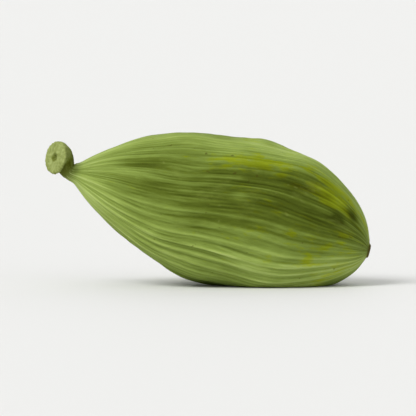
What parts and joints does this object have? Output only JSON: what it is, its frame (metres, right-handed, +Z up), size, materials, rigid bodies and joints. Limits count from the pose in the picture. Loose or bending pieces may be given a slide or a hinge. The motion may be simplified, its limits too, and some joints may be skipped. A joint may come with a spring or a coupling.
{
  "type": "green cardamom pod",
  "caption": "Dried green cardamom pod: a closed, three-angled husk with lengthwise ribs, a flared stalk stub and a small flower scar, lying on its side.",
  "frame": {"origin": "centre of the bottom of the pod's box, on the surface that the pod lies on", "axes": "+X from the stalk's end to the flower's end, +Z up from the surface, +Y away from the viewed side"},
  "size_m": [0.0204, 0.0098, 0.0096],
  "materials": {
    "husk": "satin dried husk, fibrous and ribbed"
  },
  "bodies": {
    "root": {"cardamom_pod": "husk"}
  },
  "joints": []
}
